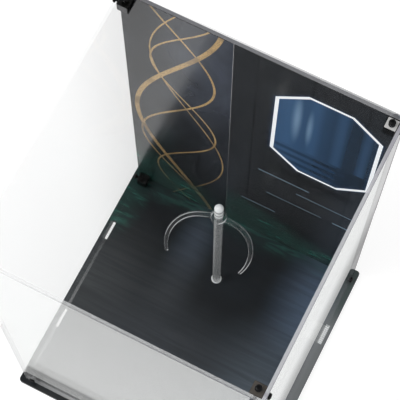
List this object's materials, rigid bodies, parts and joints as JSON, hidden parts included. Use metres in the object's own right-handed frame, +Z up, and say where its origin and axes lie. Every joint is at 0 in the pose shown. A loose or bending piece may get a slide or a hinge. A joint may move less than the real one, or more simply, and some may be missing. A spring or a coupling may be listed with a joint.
{
  "type": "action figure display case",
  "caption": "Clear acrylic display case with a printed base and back, black corner cubes and a stand with a waist clip for one figure",
  "frame": {"origin": "the middle of the base plate's underside, where the case stands on a table", "axes": "+Z up, +X to the right and -Y to the front, seen by someone who looks at the figure; the printed boards stand at the back, at +Y"},
  "size_m": [0.245, 0.245, 0.4072],
  "materials": {
    "printed_base": "dark cloudy print on an acrylic plate",
    "clear_sheet": "clear polished acrylic sheet",
    "clear_stand": "clear moulded plastic",
    "print_left": "satin dark print with thin gold lines",
    "print_right": "satin dark print with pale lines",
    "black_plastic": "polished black acrylic",
    "black_steel": "blackened steel"
  },
  "bodies": {
    "base": {"base_plate": "printed_base", "pole_socket": "clear_stand"},
    "stand": {"pole": "clear_stand"},
    "clip": {"waist_clip": "clear_stand"},
    "cover": {"front_wall": "clear_sheet", "back_wall": "clear_sheet", "left_wall": "clear_sheet", "right_wall": "clear_sheet", "top_panel": "clear_sheet", "backdrop_left": "print_left", "backdrop_right": "print_right", "cube_bottom_front_left": "black_plastic", "cube_bottom_front_right": "black_plastic", "cube_bottom_back_left": "black_plastic", "cube_bottom_back_right": "black_plastic", "cube_top_front_left": "black_plastic", "cube_top_front_right": "black_plastic", "cube_top_back_left": "black_plastic", "cube_top_back_right": "black_plastic", "front_screws": "black_steel", "back_screws": "black_steel", "left_screws": "black_steel", "right_screws": "black_steel", "top_screws": "black_steel"}
  },
  "joints": [
    {"name": "cover_lift", "type": "slide", "parent": "base", "child": "cover", "axis": [0, 0, 1], "range_m": [0, 0.41]},
    {"name": "stand_turn", "type": "hinge", "parent": "base", "child": "stand", "pos_m": [0, 0.053, 0.005], "axis": [0, 0, 1], "continuous": true},
    {"name": "clip_height", "type": "slide", "parent": "stand", "child": "clip", "axis": [0, 0, 1], "range_m": [-0.183, 0.02]}
  ]
}
